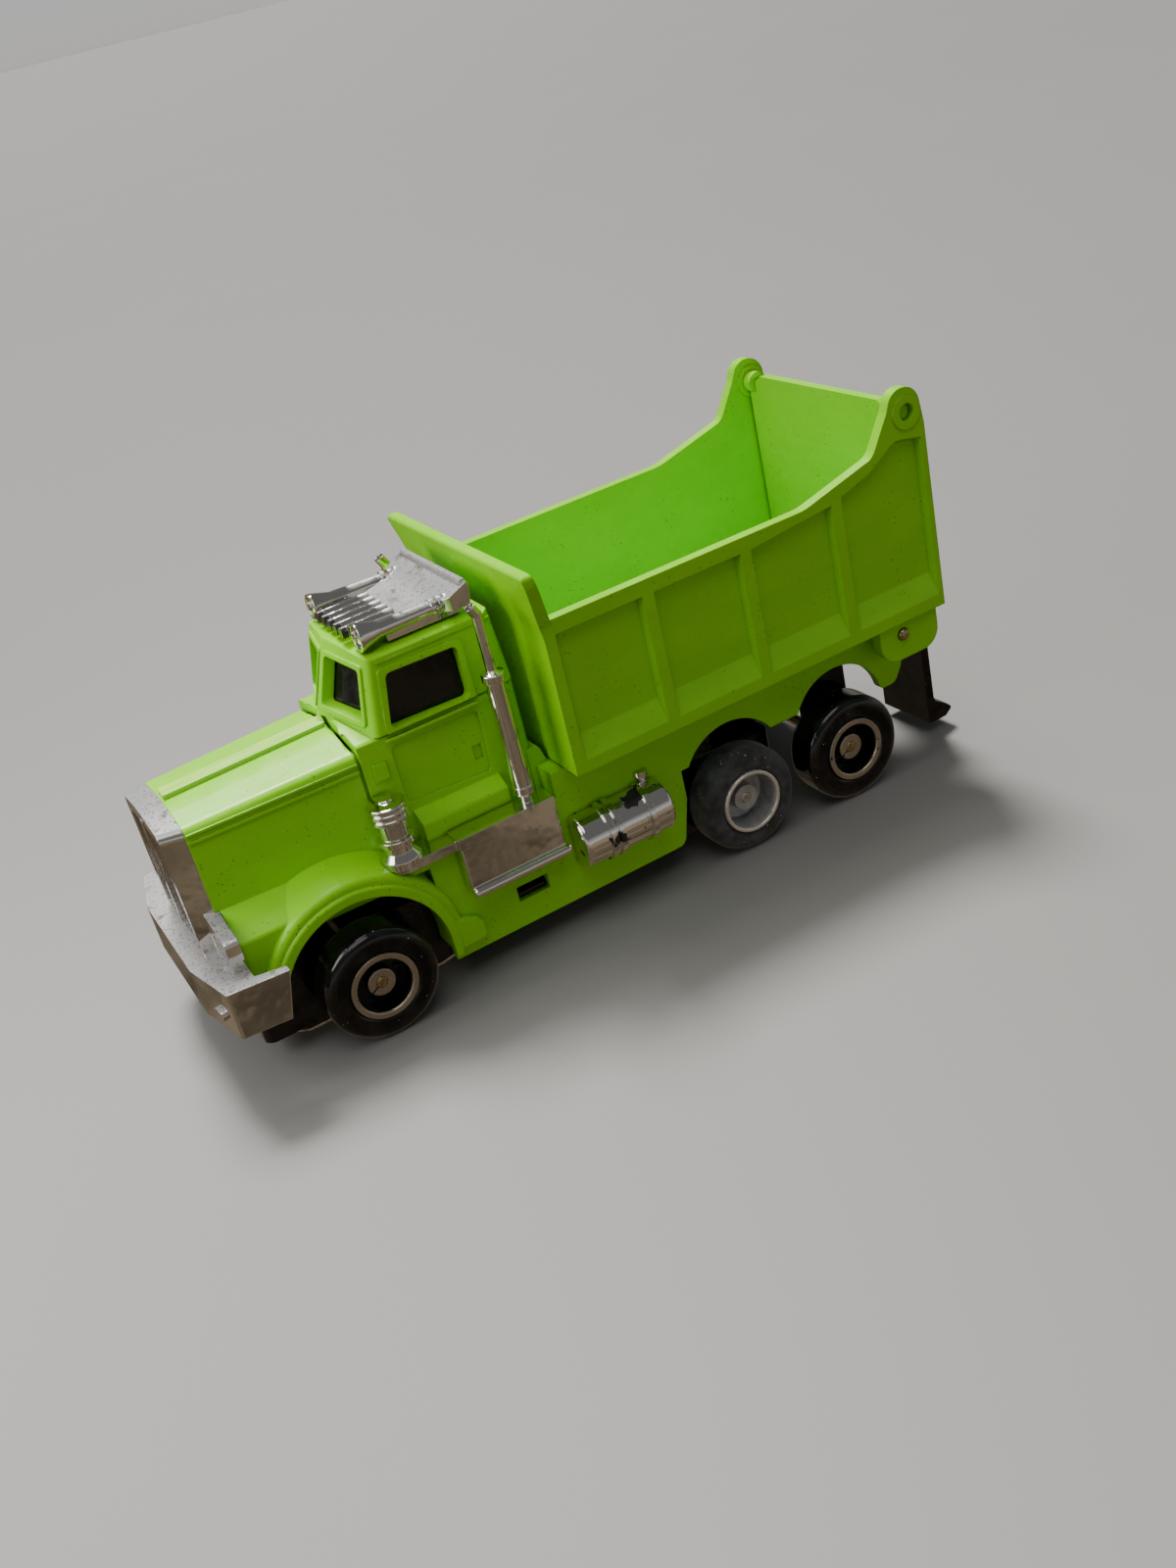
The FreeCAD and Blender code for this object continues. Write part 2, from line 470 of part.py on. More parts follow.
def roof_trim():
    """One moulding on the roof: two air horns, five marker lamps and a curved, lipped wind deflector."""
    pieces = []
    for side in (1, -1):
        y = side * 6.7
        pieces.append(cone(0.75, 1.0, (-19.9, y, 41.35), (-13.4, y, 41.35)))
        pieces.append(cone(1.0, 1.65, (-13.4, y, 41.35), (-11.2, y, 41.35)))
        pieces.append(rod(1.65, (-11.2, y, 41.35), (-10.9, y, 41.35)))
        for x in (-19.6, -20.5, -21.3):
            pieces.append(rod(1.0, (x, y, 41.35), (x - 0.45, y, 41.35)))
        pieces.append(box((-14.0, -22.6), (y - 0.6, y + 0.6), (39.9, 41.2)))
    for i in range(5):
        y = (i - 2) * 1.75
        pieces.append(rod(0.68, (-10.4, y, 41.25), (-16.6, y, 41.25)))
    pieces.append(box((-12.6, -21.5), (-6.2, 6.2), (40.5, 41.0)))
    ramp = prism([(-15.2, 40.6), (-15.2, 41.3), (-19.8, 41.5, 8.0), (-23.7, 43.2), (-24.0, 42.9),
                  (-23.6, 40.6)], "xz", -8.3, 8.3)
    ramp = ramp.common(prism([(-15.2, -4.2), (-15.2, 4.2), (-20.2, 6.6), (-21.5, 8.3), (-24.2, 8.3),
                              (-24.2, -8.3), (-21.5, -8.3), (-20.2, -6.6)], "xy", 40, 44))
    lip = rod(0.55, (-23.5, -7.9, 42.95), (-23.5, 7.9, 42.95))
    trim = merge(*pieces, ramp, lip)
    for side in (1, -1):
        trim = trim.cut(rod(1.25, (-11.4, side * 6.7, 41.35), (-10.5, side * 6.7, 41.35)))
    return trim.cut(greenhouse())


# ---- dump bed, tailgate and lever --------------------------------------------------------
def side_panels():
    """Outlines of the four sunken panels; the two rear ones rise with the rim."""
    half = RIB_W / 2
    rims = [[PANEL_TOP, PANEL_TOP], [PANEL_TOP, PANEL_TOP], [PANEL_TOP, PANEL_TOP + 1.0]]
    faces = []
    for front, rear, (front_top, rear_top) in zip(RIB_STATIONS[:3], RIB_STATIONS[1:4], rims):
        faces.append([(front - half, PANEL_BOTTOM), (front - half, front_top), (rear + half, rear_top),
                      (rear + half, PANEL_BOTTOM)])
    front, rear = RIB_STATIONS[3] - half, RIB_STATIONS[4] + half
    faces.append([(front, PANEL_BOTTOM), (front, 38.4), (-71.2, 39.6), (-75.4, 42.2, 2.0), (rear, 41.4),
                  (rear, PANEL_BOTTOM)])
    return faces


def deep_outline(face):
    """A panel's outline at its full depth: leaning flanks and a long sloping ledge at the bottom."""
    middle = (face[0][0] + face[-1][0]) / 2
    deep = []
    for a, b, *rounding in face:
        height = PANEL_LEDGE if b == PANEL_BOTTOM else b - RIB_DRAFT
        deep.append((a - math.copysign(RIB_DRAFT, a - middle), height, *rounding))
    return deep


def bed_side():
    """Left side plate with four sunken panels; each panel's lower edge is a sloping ledge."""
    x, z, r = EAR
    plate = prism([(BED_FRONT, BED_BOTTOM, 0.6), (BED_FRONT - 0.4, BED_RIM), (-61.8, BED_RIM, 6.0),
                   (-72.0, 41.3, 2.0), (-74.7, 45.6, 3.0), (-75.6, z + r, 2.0), (-79.2, z + r, 2.3),
                   (BED_REAR, 43.0, 2.0), (BED_REAR, BED_BOTTOM)], "xz", BED_W - BED_WALL, BED_W)
    for face in side_panels():
        plate = plate.cut(loft([(BED_W - PANEL_DEPTH, deep_outline(face)), (BED_W, face)], "xz"))
    boss = rod(r - 0.9, (x, BED_W - BED_WALL - 0.2, z), (x, BED_W + 0.18, z))
    return plate.fuse(boss).cut(rod(TRUNNION_R + RUN, (x, 0, z), (x, 20, z)))


def hinge_lug():
    """Left lug that hangs from the bed floor round the hinge pin."""
    x, z = TILT_PIVOT
    top = BED_FLOOR - 0.2
    lug = prism([(-70.1, top), (-70.1, 15.3, 2.6), (-78.8, 15.3, 2.4), (-78.8, top)], "xz", LUG_IN, LUG_OUT)
    tailgate_room = box((-69, -80), (0, BED_W - BED_WALL), (BED_BOTTOM, BED_FLOOR))
    return lug.cut(tailgate_room).cut(rod(PIN_R + RUN, (x, 0, z), (x, 20, z)))


def dump_bed():
    """Open box with a cab shield leaning over the cab roof."""
    floor = box((BED_FRONT - 0.2, TAILGATE_X + 0.15), (-BED_W + 0.05, BED_W - 0.05), (BED_BOTTOM, BED_FLOOR))
    panel = prism([(BED_FRONT, BED_BOTTOM), (BED_FRONT - 0.1, 37.0, 10.0), (-25.9, SHIELD_TOP, 0.6),
                   (-27.2, SHIELD_TOP + 0.2, 0.4), (-28.9, 37.6, 10.0), (-28.9, BED_BOTTOM)], "xz", -20, 20)
    w = BED_W - 0.02
    front_view = [(-w, BED_BOTTOM), (w, BED_BOTTOM), (w, 38.0, 3.0), (SHIELD_W, 43.4, 1.0),
                  (SHIELD_W, SHIELD_TOP, 0.7), (-SHIELD_W, SHIELD_TOP, 0.7), (-SHIELD_W, 43.4, 1.0),
                  (-w, 38.0, 3.0)]
    panel = panel.common(prism(front_view, "yz", -32, -24))
    inner = BED_W - BED_WALL
    fillet = [(inner + 0.1, BED_FLOOR - 0.1), (inner + 0.1, BED_FLOOR + 1.0), (inner - 1.0, BED_FLOOR - 0.1)]
    fillets = both(prism(fillet, "yz", TAILGATE_X + 0.15, BED_FRONT - 1.2))
    return merge(floor, panel, both(bed_side()), both(hinge_lug()), fillets)


def tailgate():
    """Plate that hangs between the bed's sides from two trunnions."""
    x, z, _ = EAR
    w = BED_W - BED_WALL - 0.25
    foot = BED_BOTTOM + 0.2
    plate = prism([(-w, foot), (w, foot), (w, 44.3), (11.6, 45.9), (-11.6, 45.9), (-w, 44.3)],
                  "yz", TAILGATE_X - TAILGATE_T, TAILGATE_X)
    trunnions = rod(TRUNNION_R, (x, -BED_W + 0.6, z), (x, BED_W - 0.6, z))
    trunnions = trunnions.cut(box((x - 3, x + 3), (-w + 0.5, w - 0.5), (z - 3, z + 3)))
    collar = both(rod(TRUNNION_R + 0.35, (x, w - 1.4, z), (x, w, z)))
    ribs = [box((TAILGATE_X - TAILGATE_T - 0.45, TAILGATE_X - TAILGATE_T), (y - 0.7, y + 0.7), (24.2, 41.5))
            for y in (-12.6, -4.2, 4.2, 12.6)]
    rails = [box((TAILGATE_X - TAILGATE_T - 0.45, TAILGATE_X - TAILGATE_T), (-13.3, 13.3), (low, low + 1.5))
             for low in (22.7, 41.4)]
    return merge(plate, trunnions, collar, *ribs, *rails)


def dump_lever():
    """Leg that hangs below the hinge; a stop on the track pushes its toe forward and lifts the bed."""
    x, z = TILT_PIVOT
    low, high = LEVER_Y
    rear = LEVER_X - LEVER_T
    leg = prism([(-71.4, 16.6, 1.2), (-78.6, 16.6, 1.2), (LEVER_X, 14.6, 1.2), (LEVER_X, LEVER_FOOT),
                 (-82.6, LEVER_FOOT, 0.4), (LEVER_TIP, 2.4, 0.3), (-82.9, 3.2, 0.3), (rear, 4.4, 1.0),
                 (rear, 19.0, 0.8), (-79.6, BED_BOTTOM), (-71.4, BED_BOTTOM)], "xz", low, high)
    return leg.cut(rod(PIN_R + RUN, (x, 0, z), (x, 20, z)))


def hinge_pin():
    """Round-ended steel pin through brackets, lugs and lever."""
    x, z = TILT_PIVOT
    pin = rod(PIN_R, (x, -LUG_OUT - 0.55, z), (x, LUG_OUT + 0.55, z))
    return pin.makeFillet(0.5, [e for e in pin.Edges if e.Curve.TypeId == "Part::GeomCircle"])


# ---- wheels and axles --------------------------------------------------------------------
def plastic_wheel(x):
    """Left free-running wheel, moulded as one piece with its tyre."""
    z = TYRE_R
    profile = [(AXLE_R, TYRE_IN - 0.3), (1.7, TYRE_IN - 0.3), (1.7, 12.0), (4.9, 12.0), (4.9, TYRE_IN),
               (TYRE_R, TYRE_IN, 0.8), (TYRE_R, TYRE_OUT - 0.1, 1.1), (4.3, TYRE_OUT - 0.1),
               (RIM_R, TYRE_OUT - 0.35), (RIM_R, TYRE_OUT), (3.2, TYRE_OUT, 0.2), (3.05, 12.9),
               (HUB_R, 12.9), (HUB_R, 14.3, 0.15),
               (AXLE_R, 14.3)]
    notch = box((x + AXLE_R - 0.2, x + HUB_R + 0.5), (13.9, 15.0), (z - 0.1, z + 0.1))
    notch.rotate(Vec(x, 0, z), Vec(0, 1, 0), 30)
    wheel = turned(profile, x, z).cut(notch)
    for i in range(3):
        stud = rod(0.3, (x + 2.35, 12.7, z), (x + 2.35, 13.3, z))
        stud.rotate(Vec(x, 0, z), Vec(0, 1, 0), 120.0 * i - 50)
        wheel = wheel.fuse(stud)
    return wheel


def drive_rim():
    """Left deep-dish hub of the drive axle."""
    seat = RIM_R - 0.15
    profile = [(AXLE_R, TYRE_IN - 0.3), (1.7, TYRE_IN - 0.3), (1.7, TYRE_IN + 0.3), (seat, TYRE_IN + 0.3),
               (seat, 14.7), (RIM_R, 14.8), (RIM_R, TYRE_OUT, 0.15), (3.45, TYRE_OUT, 0.15),
               (3.2, 12.0, 0.4), (HUB_R, 11.8), (HUB_R, 13.8, 0.15), (AXLE_R, 13.8)]
    return turned(profile, DRIVE_X, DRIVE_TYRE_R)


def drive_tyre():
    """Left soft tyre round the drive hub."""
    bore = RIM_R - 0.15
    profile = [(bore, TYRE_IN + 0.3), (5.9, TYRE_IN + 0.1, 0.6), (DRIVE_TYRE_R, TYRE_IN + 0.8, 0.8),
               (DRIVE_TYRE_R, TYRE_OUT - 0.3, 1.4), (4.4, TYRE_OUT - 0.25, 0.3), (bore, 14.6)]
    return turned(profile, DRIVE_X, DRIVE_TYRE_R)


def axle(x, z, tip):
    """Steel axle through the centre plane, ending at plus and minus tip."""
    shaft = rod(AXLE_R, (x, -tip, z), (x, tip, z))
    return shaft.makeFillet(0.2, [e for e in shaft.Edges if e.Curve.TypeId == "Part::GeomCircle"])


def crown_gear():
    """Face gear on the drive axle, right of the motor shaft, with its teeth facing the pinion."""
    x, z = DRIVE_X, DRIVE_TYRE_R
    tooth_tip = -(PINION_PITCH_R - 0.25)
    root = tooth_tip - 0.75
    disc = rod(CROWN_PITCH_R + 0.6, (x, root - 1.2, z), (x, root, z))
    boss = rod(1.6, (x, root - 2.6, z), (x, root, z))
    teeth = []
    for i in range(CROWN_TEETH):
        tooth = prism([(CROWN_PITCH_R - 0.6, -0.2), (CROWN_PITCH_R + 0.55, -0.2), (CROWN_PITCH_R + 0.55, 0.2),
                       (CROWN_PITCH_R - 0.6, 0.2)], "xz", root - 0.05, tooth_tip)
        tooth.rotate(Vec(0, 0, 0), Vec(0, 1, 0), 360.0 * (i + 0.5) / CROWN_TEETH)
        tooth.translate(Vec(x, 0, z))
        teeth.append(tooth)
    gear = merge(disc, boss, *teeth)
    return gear.cut(rod(AXLE_R, (x, -20, z), (x, 20, z)))


# ---- motor -------------------------------------------------------------------------------
PINION_X = DRIVE_X + CROWN_PITCH_R


def pinion_gear():
    """Brass pinion on the motor shaft; its teeth are straight fins."""
    hub = rod(PINION_PITCH_R - 0.45, (PINION_X - 0.7, 0, MOTOR_Z), (PINION_X + 1.2, 0, MOTOR_Z))
    fins = []
    for i in range(PINION_TEETH):
        fin = box((PINION_X - 0.7, PINION_X + 0.7), (-0.19, 0.19),
                  (PINION_PITCH_R - 0.6, PINION_PITCH_R + 0.25))
        fin.rotate(Vec(0, 0, 0), Vec(1, 0, 0), 360.0 * i / PINION_TEETH + 90)
        fin.translate(Vec(0, 0, MOTOR_Z))
        fins.append(fin)
    return merge(hub, *fins).cut(shaft_line(SHAFT_R, -60, 0))


def shaft_line(radius, rear, front):
    """A cylinder along the motor shaft's line."""
    return rod(radius, (rear, 0, MOTOR_Z), (front, 0, MOTOR_Z))


def armature_core():
    """Three-pole iron stack."""
    rear, front = CORE_X
    core = shaft_line(CORE_R, rear, front)
    for i in range(3):
        slot = box((rear - 1, front + 1), (-0.45, 0.45), (1.6, CORE_R + 1))
        wide = box((rear - 1, front + 1), (-1.35, 1.35), (1.5, 2.35))
        pocket = slot.fuse(wide)
        pocket.rotate(Vec(0, 0, 0), Vec(1, 0, 0), 120.0 * i + 60)
        pocket.translate(Vec(0, 0, MOTOR_Z))
        core = core.cut(pocket)
    return core.cut(shaft_line(SHAFT_R, -60, 0))


def armature_windings():
    """Wire bundles in the three slots, with round end turns."""
    rear, front = CORE_X
    bundles = []
    for i in range(3):
        bundle = box((rear - 0.9, front + 0.9), (-1.25, 1.25), (1.6, 2.25))
        bundle.rotate(Vec(0, 0, 0), Vec(1, 0, 0), 120.0 * i + 60)
        bundle.translate(Vec(0, 0, MOTOR_Z))
        bundles.append(bundle)
    rings = [shaft_line(2.3, a, b) for a, b in ((rear - 1.0, rear), (front, front + 1.0))]
    return merge(*bundles, *rings).cut(shaft_line(SHAFT_R, -60, 0))


def commutator():
    """Copper drum in three segments."""
    rear, front = COMMUTATOR_X
    drum = shaft_line(COMMUTATOR_R, rear, front)
    for i in range(3):
        gap = box((rear - 1, front + 1), (-0.12, 0.12), (COMMUTATOR_R - 0.4, COMMUTATOR_R + 1))
        gap.rotate(Vec(0, 0, 0), Vec(1, 0, 0), 120.0 * i)
        gap.translate(Vec(0, 0, MOTOR_Z))
        drum = drum.cut(gap)
    return drum.cut(shaft_line(SHAFT_R, -60, 0))


def magnet():
    """Left field magnet with a hollow face round the armature."""
    block = box((CORE_X[0] + 0.5, CORE_X[1] - 0.5), (2.0, 7.9), (MOTOR_Z - 2.9, MOTOR_Z + 2.9))
    return block.cut(shaft_line(CORE_R + 0.4, -60, 0))


def brush():
    """Left carbon brush, a hair's breadth from the commutator."""
    x = sum(COMMUTATOR_X) / 2
    return rod(0.8, (x, COMMUTATOR_R + 0.05, MOTOR_Z), (x, COMMUTATOR_R + 2.2, MOTOR_Z))


def coil(radius, wire, pitch, height, base, axis):
    """A coil spring from a base point along an axis."""
    helix = Part.makeHelix(pitch, height, radius)
    section = Part.Wire(Part.Circle(Vec(radius, 0, 0), Vec(0, 1, 0), wire).toShape())
    spring = Part.Wire(helix.Edges).makePipeShell([section], True, False)
    turn = FreeCAD.Rotation(Vec(0, 0, 1), Vec(*axis))
    spring.Placement = FreeCAD.Placement(Vec(*base), turn)
    return spring


def brush_spring():
    """Left spring that presses the brush inward."""
    x = sum(COMMUTATOR_X) / 2
    return coil(0.55, 0.12, 0.55, 3.3, (x, COMMUTATOR_R + 2.33, MOTOR_Z), (0, 1, 0))


# ---- chassis and current pickup ----------------------------------------------------------
SHOE_PIVOT = (10.8, 3.1)      # x and z of the pickup shoe's front hook
SHOE_Y = (4.6, 7.6)


def chassis():
    """Black pan with motor bulkheads, axle bearings, clips for the body and a socket for a guide pin."""
    front, rear, w, bottom, top = CHASSIS
    pan = prism([(front, -w, 1.2), (front, w, 1.2), (rear, w, 0.8), (rear, -w, 0.8)], "xy", bottom, top)
    hollow = box((front - FLOOR_T, rear + FLOOR_T), (-w + FLOOR_T, w - FLOOR_T), (bottom + FLOOR_T, top + 1))
    pan = pan.cut(hollow)
    bulkheads = [box(span, (-w + 0.5, w - 0.5), (bottom, MOTOR_Z + 3.0)) for span in BULKHEADS]
    brush_x = sum(COMMUTATOR_X) / 2
    tube = both(rod(1.5, (brush_x, COMMUTATOR_R + 0.6, MOTOR_Z), (brush_x, w - 0.5, MOTOR_Z)))
    tube_feet = both(box((brush_x - 1.0, brush_x + 1.0), (COMMUTATOR_R + 0.8, w - 0.5), (bottom, MOTOR_Z)))
    tube_bore = both(rod(0.85, (brush_x, 0, MOTOR_Z), (brush_x, w - FLOOR_T, MOTOR_Z)))
    (clip_rear, clip_front), (_, clip_top) = CLIP_SLOT
    clip = [(w - 0.5, clip_top - 2.5), (11.7, clip_top - 1.7), (11.7, clip_top - 1.2, 0.2),
            (w - 0.5, clip_top - 0.5)]
    clips = both(prism(clip, "yz", clip_rear + 0.3, clip_front - 0.3))
    bar_lugs = both(box((SHOE_PIVOT[0] - 0.9, SHOE_PIVOT[0] + 0.9), (SHOE_Y[0] - 1.1, SHOE_Y[0] - 0.3),
                        (bottom, bottom + 2.0)))
    lugs = [box((front - 1, front + 2.0), (y - 0.9, y + 0.9), (5.4, 8.6)) for y in (-4.2, 4.2)]
    x, bore, depth = GUIDE_SOCKET
    boss = rod(bore + 1.2, (x, 0, bottom - 0.6), (x, 0, bottom + depth))
    frame = merge(pan, *bulkheads, tube, tube_feet, clips, bar_lugs, *lugs, boss)
    cuts = [tube_bore, shaft_line(SHAFT_R + RUN, -50, -10),
            rod(bore, (x, 0, bottom - 0.6), (x, 0, bottom - 0.6 + depth)),
            rod(AXLE_R + RUN, (0, -20, TYRE_R), (0, 20, TYRE_R)),
            rod(AXLE_R + RUN, (DRIVE_X, -20, DRIVE_TYRE_R), (DRIVE_X, 20, DRIVE_TYRE_R)),
            box((DRIVE_X - 6.0, DRIVE_X + 6.0), (-6.0, -0.4), (bottom - 1, bottom + FLOOR_T + 0.01)),
            both(box((SHOE_PIVOT[0] + 1.1, SHOE_PIVOT[0] - 1.3), (SHOE_Y[0] - 0.3, SHOE_Y[1] + 0.3),
                     (bottom - 1, bottom + FLOOR_T + 0.5)))]
    for cut in cuts:
        frame = frame.cut(cut)
    shoe_bars = both(rod(0.4, (SHOE_PIVOT[0], SHOE_Y[0] - 0.7, SHOE_PIVOT[1]),
                         (SHOE_PIVOT[0], SHOE_Y[1] + 0.7, SHOE_PIVOT[1])))
    return frame.fuse(shoe_bars)


def pickup_shoe():
    """Left sprung steel shoe that rubs the track's rail."""
    x, z = SHOE_PIVOT
    low, high = SHOE_Y
    gap = 0.4 + RUN
    front = x + gap + 0.25
    strap = prism([(front, z + 0.3), (front, z - 0.9, 0.6), (x - 3.0, 0.65, 1.5), (-9.0, 0.65, 0.8),
                   (-10.6, 0.95), (-10.6, 1.25), (-9.0, 0.95, 0.8), (x - 2.7, 0.95, 1.5),
                   (x + gap, z - 0.7, 0.3), (x + gap, z + 0.3)], "xz", low, high)
    hook = rod(gap + 0.25, (x, low, z), (x, high, z)).cut(rod(gap, (x, low - 1, z), (x, high + 1, z)))
    hook = hook.cut(box((x - 3, x), (low - 1, high + 1), (z - 3, z)))
    return merge(strap, hook)


def shoe_spring():
    """Left coil between the shoe and the pan."""
    return coil(1.0, 0.14, 0.34, 1.02, (-4.0, sum(SHOE_Y) / 2, 1.11), (0, 0, 1))


def contact_strip():
    """Left copper strip from the brush to the shoe's hook."""
    brush_x = sum(COMMUTATOR_X) / 2
    y = CHASSIS[2] - FLOOR_T
    riser = box((brush_x - 1.4, brush_x + 1.4), (y - 0.3, y), (MOTOR_Z + 1.6, MOTOR_Z + 3.8))
    run = box((brush_x - 1.4, SHOE_PIVOT[0] - 3.2), (y - 0.3, y), (MOTOR_Z + 3.1, MOTOR_Z + 3.8))
    return merge(riser, run)


# ---- export ------------------------------------------------------------------------------
def left_and_right(name, shape):
    """Two named sub-parts from one left-hand shape."""
    return {name + "_left": shape, name + "_right": mirrored(shape)}


def sub_parts():
    """Every sub-part by name."""
    parts = {
        "cab_body": cab_body(),
        "window_insert": window_insert(),
        "grille": grille(),
        "front_bumper": front_bumper(),
        "roof_trim": roof_trim(),
        "chassis": chassis(),
        "axle_carrier": axle_carrier(),
        "hinge_pin": hinge_pin(),
        "dump_bed": dump_bed(),
        "dump_lever": dump_lever(),
        "tailgate": tailgate(),
        "front_axle": axle(0, TYRE_R, 14.4),
        "drive_axle": axle(DRIVE_X, DRIVE_TYRE_R, 13.9),
        "rear_axle": axle(REAR_X, TYRE_R, 14.4),
        "crown_gear": crown_gear(),
        "pinion_gear": pinion_gear(),
        "motor_shaft": shaft_line(SHAFT_R, PINION_X - 0.7, BULKHEADS[1][1] + 0.3),
        "armature_core": armature_core(),
        "armature_windings": armature_windings(),
        "commutator": commutator(),
    }
    for name, shape in (("side_trim", side_trim()), ("fuel_tank", fuel_tank()), ("magnet", magnet()),
                        ("carbon_brush", brush()), ("brush_spring", brush_spring()),
                        ("contact_strip", contact_strip()), ("pickup_shoe", pickup_shoe()),
                        ("shoe_spring", shoe_spring()), ("front_wheel", plastic_wheel(0)),
                        ("rear_wheel", plastic_wheel(REAR_X)), ("drive_rim", drive_rim()),
                        ("drive_tyre", drive_tyre())):
        parts.update(left_and_right(name, shape))
    return parts


def main():
    os.makedirs("parts", exist_ok=True)
    for name, shape in sub_parts().items():
        moved = shape.copy()
        moved.translate(Vec(-ORIGIN_X, 0, 0))
        moved.exportStep("parts/" + name + ".step")
        solids = moved.Solids
        bounds = moved.BoundBox
        print(f"{name:22s} solids {len(solids)} valid {moved.isValid()} volume {moved.Volume:9.2f}"
              f"  x {bounds.XMin:7.2f} {bounds.XMax:7.2f}  y {bounds.YMin:7.2f} {bounds.YMax:7.2f}"
              f"  z {bounds.ZMin:6.2f} {bounds.ZMax:6.2f}")


main()
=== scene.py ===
import json
import math

import bpy
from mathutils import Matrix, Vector


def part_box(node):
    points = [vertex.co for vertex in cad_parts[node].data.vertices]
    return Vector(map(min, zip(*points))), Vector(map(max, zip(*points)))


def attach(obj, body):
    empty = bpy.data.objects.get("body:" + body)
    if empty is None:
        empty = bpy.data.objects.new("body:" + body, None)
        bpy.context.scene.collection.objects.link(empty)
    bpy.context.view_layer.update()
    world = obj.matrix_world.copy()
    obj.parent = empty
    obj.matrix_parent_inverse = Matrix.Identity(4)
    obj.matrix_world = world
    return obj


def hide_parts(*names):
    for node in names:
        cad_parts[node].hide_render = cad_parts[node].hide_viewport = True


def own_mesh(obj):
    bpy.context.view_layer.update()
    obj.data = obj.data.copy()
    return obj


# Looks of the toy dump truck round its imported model. Metres; +X is the truck's front and +Z is up.

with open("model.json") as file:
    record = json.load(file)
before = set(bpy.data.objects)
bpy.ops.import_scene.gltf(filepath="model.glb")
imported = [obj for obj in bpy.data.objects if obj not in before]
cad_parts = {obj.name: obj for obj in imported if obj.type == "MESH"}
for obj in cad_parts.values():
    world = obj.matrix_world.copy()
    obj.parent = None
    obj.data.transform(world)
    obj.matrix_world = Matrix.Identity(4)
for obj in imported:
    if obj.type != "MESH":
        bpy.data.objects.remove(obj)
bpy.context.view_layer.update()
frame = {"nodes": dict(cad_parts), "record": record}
nodes = frame["nodes"]

MM = 0.001
FLOOR_HALF = 40.0                      # metres, so that the floor fills every view

# Soft borders of worn and painted areas, and of painted highlight and painted shade: where the area's mask is
# 0, then where it is 1. An X is along the truck, a Y is the distance from its middle plane and an R is the
# distance from a wheel's centre.
STRIP_X = (26.8 * MM, 27.0 * MM)       # rear end of the hood's hinge strip and of the painted highlight on it
STRIP_Y = (1.22 * MM, 1.17 * MM)       # its sides
DEFLECTOR_X = (17.8 * MM, 16.8 * MM)   # front edge of the roof moulding's deflector
LAMP_ENDS_X = (21.9 * MM, 22.0 * MM)   # start of the marker lamps' front ends, painted near black as painted shadow and dark reflection
LAMP_ENDS_Y = (4.6 * MM, 4.5 * MM)     # sides of the row of marker lamps
RING_INNER_R = (3.10 * MM, 3.16 * MM)  # foil ring stamped on a plastic wheel's face
RING_OUTER_R = (3.94 * MM, 3.88 * MM)
RING_Y = (15.05 * MM, 15.1 * MM)
HUB_R = (1.72 * MM, 1.66 * MM)         # foil on the wheel's hub
HUB_Y = (14.1 * MM, 14.15 * MM)
LIP_Y = (14.6 * MM, 15.0 * MM)         # bright lip of a drive rim


# ---- camera ------------------------------------------------------------------------------
camera_data = bpy.data.cameras.new("camera")
camera_data.lens = 35.78
camera_data.sensor_width = 36.0
camera_data.clip_start = 0.005
camera = bpy.data.objects.new("camera", camera_data)
camera.location = (0.0642, 0.15459, 0.09997)
camera.rotation_euler = [math.radians(angle) for angle in (61.02, 12.343, 149.987)]
bpy.context.scene.collection.objects.link(camera)
bpy.context.scene.camera = camera


